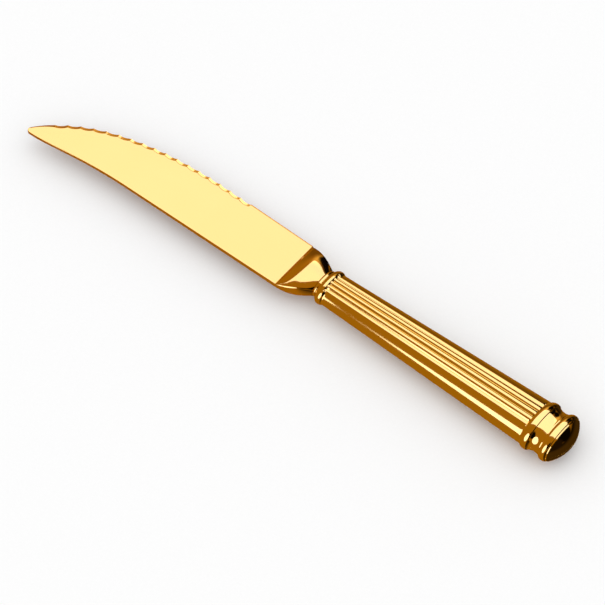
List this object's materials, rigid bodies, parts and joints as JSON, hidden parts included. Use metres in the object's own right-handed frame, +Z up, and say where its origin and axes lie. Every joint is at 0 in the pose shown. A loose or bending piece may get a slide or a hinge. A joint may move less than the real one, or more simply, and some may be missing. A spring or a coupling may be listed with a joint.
{
  "type": "steak knife",
  "caption": "Gold-coloured steak knife with a scalloped, upswept blade, forged bolster and a tapering reeded hollow handle ending in a moulded pommel",
  "frame": {"origin": "under the middle of the knife's bounding box, at its lowest point, with the knife lying on its flat side", "axes": "+X from the blade's tip to the pommel, +Y towards the cutting edge, +Z up out of the blade's flat side"},
  "size_m": [0.242, 0.0264, 0.0138],
  "materials": {
    "gold_blade": "mirror-polished steel with a gold vapour-deposited coating",
    "gold_handle": "mirror-polished steel with a gold vapour-deposited coating",
    "cement": "set cutler's cement",
    "raw_steel": "mill finish"
  },
  "bodies": {
    "root": {"blade": "gold_blade", "neck_ferrule": "gold_handle", "upper_half_shell": "gold_handle", "lower_half_shell": "gold_handle", "seam_braze": "gold_handle", "bedding_cement": "cement", "balance_weight": "raw_steel"}
  },
  "joints": []
}
